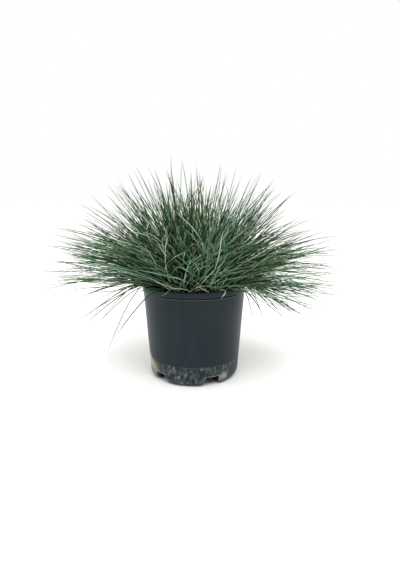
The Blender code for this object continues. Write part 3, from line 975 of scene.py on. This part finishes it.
# The young side shoot inside the rim at the front, then the bent leaves beside it: root, bend and tip
# of each, in millimetres to the right, to the back and up, and its tone.
FRONT_LEAVES = (
    ((25, -51, 111), (17, -56, 134), (2, -60, 150), 0.9),
    ((25, -51, 111), (20, -54, 138), (11, -58, 158), 0.8),
    ((26, -51, 111), (25, -55, 136), (23, -58, 155), 0.95),
    ((27, -51, 111), (31, -55, 133), (39, -57, 152), 0.8),
    ((24, -51, 111), (11, -57, 126), (-7, -60, 138), 0.9),
    ((28, -51, 111), (38, -56, 124), (52, -57, 136), 0.75),
    ((24, -52, 111), (15, -58, 122), (1, -63, 128), 1.0),
    ((27, -52, 111), (34, -57, 128), (45, -60, 143), 0.9),
    ((25, -50, 111), (22, -53, 130), (15, -56, 144), 0.7),
    ((26, -50, 111), (28, -54, 128), (31, -56, 142), 0.85),
    ((38, -44, 111), (66, -52, 158), (54, -58, 126), 0.8),
    ((20, -44, 113), (47, -66, 130), (30, -71, 112), 1.0),
    ((4, -50, 111), (-22, -58, 136), (-52, -56, 150), 0.85),
    ((-2, -52, 111), (-26, -60, 128), (-50, -54, 131), 0.9),
    ((-10, -50, 111), (6, -56, 132), (24, -58, 146), 0.8),
    ((-20, -48, 111), (-34, -56, 130), (-62, -46, 138), 0.9),
    ((-30, -42, 111), (-46, -50, 126), (-66, -34, 112), 0.6),
    ((-34, -40, 111), (-50, -46, 128), (-62, -42, 110), 0.55),
    ((46, -38, 111), (60, -44, 130), (74, -26, 98), 0.7),
    ((50, -34, 111), (66, -36, 130), (80, -18, 90), 0.65),
    ((-36, -36, 111), (-56, -46, 128), (-70, -42, 103), 0.5),
    ((-28, -44, 111), (-44, -56, 128), (-57, -52, 107), 0.6),
    ((-42, -30, 111), (-60, -34, 130), (-76, -30, 98), 0.4),
    ((40, -44, 111), (56, -52, 128), (67, -45, 106), 0.7),
    ((46, -40, 111), (62, -46, 130), (77, -36, 100), 0.7),
    ((34, -48, 111), (50, -58, 127), (60, -53, 112), 0.8),
    ((10, -52, 111), (-6, -62, 126), (-34, -60, 124), 0.9),
    ((-12, -52, 111), (-2, -58, 124), (14, -62, 128), 1.0),
    ((44, -40, 111), (28, -56, 128), (4, -60, 126), 0.85),
    ((-40, -36, 111), (-30, -52, 134), (-12, -58, 150), 0.9),
    ((-16, -50, 111), (-40, -54, 142), (-74, -48, 158), 0.95),
    ((36, -46, 111), (56, -52, 136), (84, -46, 146), 0.9),
)


class FESCUE_OT_front_leaves(bpy.types.Operator):
    """Grows the young side shoot at the front, and the bent leaves on the rim beside it"""

    bl_idname = "fescue.front_leaves"
    bl_label = "Grow the front leaves"

    def execute(self, context):
        grass = settings("grass")
        count = len(FRONT_LEAVES)
        root, bend, tip = (np.array([leaf[place] for leaf in FRONT_LEAVES]) * MM for place in range(3))
        share = np.linspace(0, 1, STATIONS)[None, :, None]
        points = lift_over_rim(curve(share, root, bend, tip))
        azimuth = np.arctan2(tip[:, 1], tip[:, 0])
        layers = {"tone": np.array([leaf[3] for leaf in FRONT_LEAVES]), "dryness": np.zeros(count)}
        half = np.full(count, 0.5 * grass.leaf_width)
        mesh = leaf_mesh("front_leaves", points, azimuth, half, np.linspace(-0.6, 0.6, count), layers)
        finish_piece(add_piece("front_leaves", mesh, bpy.data.materials["fescue leaf waxy"]), "leaf")
        return {"FINISHED"}


class FESCUE_OT_thatch(bpy.types.Operator):
    """Strews the dead, curled leaves between the crown and the rim"""

    bl_idname = "fescue.thatch"
    bl_label = "Strew the dead leaves"

    def execute(self, context):
        grass = settings("grass")
        rng = np.random.default_rng(41)
        count = grass.dead_leaves
        azimuth = rng.uniform(-pi, pi, count)
        root = heading(azimuth, np.zeros(count)) * (rng.uniform(16.0, 48.0, count) * MM)[:, None]
        root[:, 2] = SOIL_HEIGHT
        lean = np.radians(rng.uniform(5.0, 60.0, count))
        length = rng.uniform(18.0, 52.0, count) * MM
        tip = root + heading(azimuth + rng.normal(0, 1.1, count), lean) * length[:, None]
        rise = rng.uniform(0.0, 0.3, count)
        points = bowed(root, tip, rise, rng.normal(0, 0.2, count), rng.uniform(0.02, 0.09, count), rng)
        half = 0.5 * grass.leaf_width * rng.uniform(0.5, 0.85, count)
        layers = {"tone": rng.uniform(0, 1, count)}
        mesh = leaf_mesh("thatch", points, azimuth, half, rng.uniform(-1.5, 1.5, count), layers)
        finish_piece(add_piece("thatch", mesh, dry_leaf(grass)), "dry_leaf", "straw_1", "straw_2")
        return {"FINISHED"}


# ---------------------------------------------------------------- stage


def white_floor():
    """Matt white paint on a smooth board, faintly warm."""
    material, tree, surface = new_material("white floor paint matt", 0.9)
    place = add_node(tree, "TexCoord", output="Object")
    shade = add_node(tree, "TexNoise", {"Vector": place, "Scale": per_mm(400.0)})
    colour = add_node(
        tree, "Mix", {0: shade, 6: linear("#f4f4f1"), 7: linear("#f7f7f5")}, 2, data_type="RGBA")
    tree.links.new(colour, surface["Base Color"])
    surface["Specular IOR Level"].default_value = 0.1
    return material


TENT_STRENGTH = 1.25
# Each softbox: its place and what it faces, its width and height, and its power in watts.
SOFTBOXES = {
    "softbox_top": ((-0.3, -0.2, 1.8), (0.0, 0.0, 0.1), (1.2, 1.2), 5.0),
    "softbox_front": ((0.1, -1.2, 1.6), (0.0, 0.0, 0.05), (1.1, 0.9), 25.0),
}


def white_tent():
    """A white light tent: bright above, behind and to both sides, and dim towards the open front. The
    camera sees it as plain white."""
    world = bpy.data.worlds.new("white light tent")
    world.use_nodes = True
    tree = world.node_tree
    way = add_node(tree, "TexCoord", output="Generated")
    front = add_node(tree, "VectorMath", {0: way, 1: (0.0, -1.0, 0.0)}, "Value", operation="DOT_PRODUCT")
    light = add_node(tree, "ValToRGB", {"Fac": front}, stops=(
        (0.0, grey(1.0)), (0.6, grey(0.95)), (0.93, grey(0.2))))
    seen = add_node(tree, "LightPath", output="Is Camera Ray")
    shown = add_node(
        tree, "Mix", {0: seen, 6: light, 7: grey(1.0 / TENT_STRENGTH)}, 2, data_type="RGBA")
    backdrop = tree.nodes["Background"].inputs
    tree.links.new(shown, backdrop["Color"])
    backdrop["Strength"].default_value = TENT_STRENGTH
    return world


def add_softbox(name, place, target, size, power):
    """A rectangular area light that faces its target."""
    light = bpy.data.lights.new(name, "AREA")
    light.shape = "RECTANGLE"
    light.size, light.size_y = size
    light.energy = power
    lamp = bpy.data.objects.new(name, light)
    lamp.location = place
    lamp.rotation_euler = (Vector(target) - Vector(place)).to_track_quat("-Z", "Y").to_euler()
    bpy.context.collection.objects.link(lamp)


class FESCUE_OT_stage(bpy.types.Operator):
    """Sets the pale floor, the soft studio light and the camera"""

    bl_idname = "fescue.stage"
    bl_label = "Set the stage"

    def execute(self, context):
        stage = settings("stage")
        mesh = bmesh.new()
        bmesh.ops.create_grid(mesh, x_segments=1, y_segments=1, size=stage.floor_size / 2)
        add_piece("floor", mesh, white_floor())
        context.scene.world = white_tent()
        for name, softbox in SOFTBOXES.items():
            add_softbox(name, *softbox)
        camera = bpy.data.cameras.new("camera")
        camera.lens = stage.lens
        camera.clip_start = 0.01
        view = bpy.data.objects.new("camera", camera)
        view.location = (stage.camera_aside, -stage.camera_distance, stage.camera_height)
        view.rotation_euler = (pi / 2 - stage.camera_pitch, 0.0, 0.0)
        context.collection.objects.link(view)
        context.scene.camera = view
        context.scene.view_settings.view_transform = "Standard"
        return {"FINISHED"}


# ---------------------------------------------------------------- panel and registration


class FESCUE_PT_panel(bpy.types.Panel):
    bl_idname = "FESCUE_PT_panel"
    bl_label = "Fescue"
    bl_space_type = "VIEW_3D"
    bl_region_type = "UI"
    bl_category = "Fescue"

    def draw(self, context):
        for key, (group, operators) in SECTIONS.items():
            box = self.layout.box()
            box.label(text=key.capitalize())
            for name in group.__annotations__:
                box.prop(settings(key), name)
            for operator in operators:
                box.operator(operator.bl_idname)


SECTIONS = {
    "pot": (FescuePotSettings, (FESCUE_OT_pot,)),
    "compost": (FescueCompostSettings, (FESCUE_OT_compost,)),
    "grass": (FescueGrassSettings, (
        FESCUE_OT_tufts, FESCUE_OT_single_leaves, FESCUE_OT_long_leaves, FESCUE_OT_front_leaves,
        FESCUE_OT_thatch)),
    "stage": (FescueStageSettings, (FESCUE_OT_stage,)),
}


def register():
    for key, (group, operators) in SECTIONS.items():
        bpy.utils.register_class(group)
        setattr(bpy.types.Scene, f"fescue_{key}", PointerProperty(type=group))
        for operator in operators:
            bpy.utils.register_class(operator)
    bpy.utils.register_class(FESCUE_PT_panel)


def unregister():
    bpy.utils.unregister_class(FESCUE_PT_panel)
    for key, (group, operators) in SECTIONS.items():
        for operator in operators:
            bpy.utils.unregister_class(operator)
        delattr(bpy.types.Scene, f"fescue_{key}")
        bpy.utils.unregister_class(group)


def main():
    register()
    bpy.ops.fescue.stage()
    bpy.ops.fescue.pot()
    bpy.ops.fescue.compost()
    bpy.ops.fescue.tufts()
    bpy.ops.fescue.single_leaves()
    bpy.ops.fescue.long_leaves()
    bpy.ops.fescue.front_leaves()
    bpy.ops.fescue.thatch()


if __name__ == "__main__":
    main()
